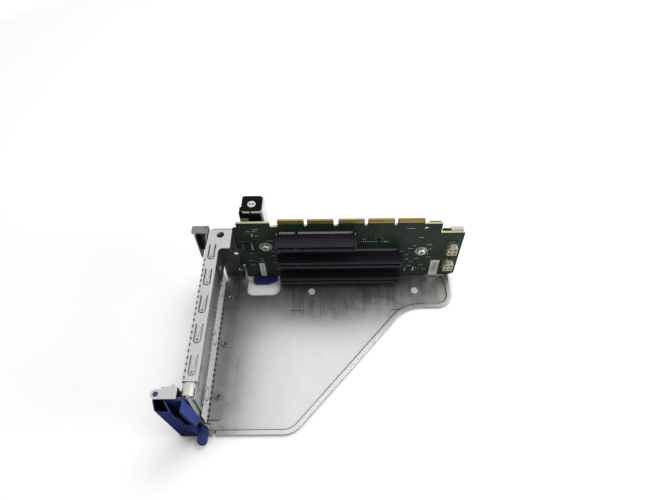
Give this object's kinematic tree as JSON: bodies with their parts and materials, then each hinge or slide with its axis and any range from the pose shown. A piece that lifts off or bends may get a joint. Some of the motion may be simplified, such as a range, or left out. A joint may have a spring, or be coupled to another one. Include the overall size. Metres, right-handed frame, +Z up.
{
  "type": "riser cage bracket",
  "caption": "Sheet-steel cage with a flat base, a flanged rear wall, an upright riser board with card slots, a blue swinging card latch and a half-turn lever.",
  "frame": {"origin": "under the base plate's lower face, between the rear wall and the board", "axes": "X runs from the rear wall along the board, Y from the front edge to the board, Z up from the plate"},
  "size_m": [0.1915, 0.1515, 0.0736],
  "materials": {
    "zinc_sheet": "zinc-plated sheet steel, satin, with rolled grain",
    "bright_steel": "bright zinc-plated turned steel",
    "spring_steel": "bright stainless spring steel",
    "green_board": "dark green solder mask on glass-fibre board",
    "gold_contacts": "gold-plated contacts",
    "slot_plastic": "near-black moulded plastic",
    "cream_plastic": "natural nylon, off-white",
    "chip_resin": "dark moulded resin",
    "label_paper": "white label stock, blank",
    "black_plastic": "black moulded plastic, fine grain",
    "blue_plastic": "dark blue moulded plastic"
  },
  "bodies": {
    "cage": {"cage_plate": "zinc_sheet", "rear_wall": "zinc_sheet", "guide_hook": "zinc_sheet", "corner_plate": "zinc_sheet", "board_carrier": "zinc_sheet", "tower_bracket": "zinc_sheet", "latch_bracket": "zinc_sheet", "slot_cover_1": "zinc_sheet", "slot_cover_2": "zinc_sheet", "slot_cover_3": "zinc_sheet", "plate_studs": "bright_steel", "foot_rivets": "bright_steel", "carrier_rivets": "bright_steel", "cross_rivets": "bright_steel", "board_screws": "bright_steel", "board_standoffs": "bright_steel", "contact_strip": "spring_steel", "half_turn_spring": "spring_steel", "latch_spring": "spring_steel", "slot_clips": "spring_steel", "riser_board": "green_board", "edge_contacts": "gold_contacts", "slot_contacts_1": "gold_contacts", "slot_contacts_2": "gold_contacts", "slot_contacts_3": "gold_contacts", "power_pins": "gold_contacts", "slot_housing_1": "slot_plastic", "slot_housing_2": "slot_plastic", "slot_housing_3": "slot_plastic", "power_connector_1": "cream_plastic", "power_connector_2": "cream_plastic", "back_plug": "cream_plastic", "back_socket": "cream_plastic", "chips": "chip_resin", "small_parts": "chip_resin", "back_chip": "chip_resin", "board_label_1": "label_paper", "board_label_2": "label_paper", "tower_housing": "black_plastic"},
    "card_latch_body": {"card_latch": "blue_plastic"},
    "half_turn_body": {"half_turn_shaft": "bright_steel", "half_turn_lever": "blue_plastic", "shaft_ring": "spring_steel"}
  },
  "joints": [
    {"name": "card_latch_hinge", "type": "hinge", "parent": "cage", "child": "card_latch_body", "pos_m": [-0.0729, -0.0678, 0.033], "axis": [0, 0, -1], "range_deg": [0, 100]},
    {"name": "half_turn_hinge", "type": "hinge", "parent": "cage", "child": "half_turn_body", "pos_m": [-0.0311, 0.0616, 0.033], "axis": [0, 0, 1], "range_deg": [0, 180]}
  ]
}
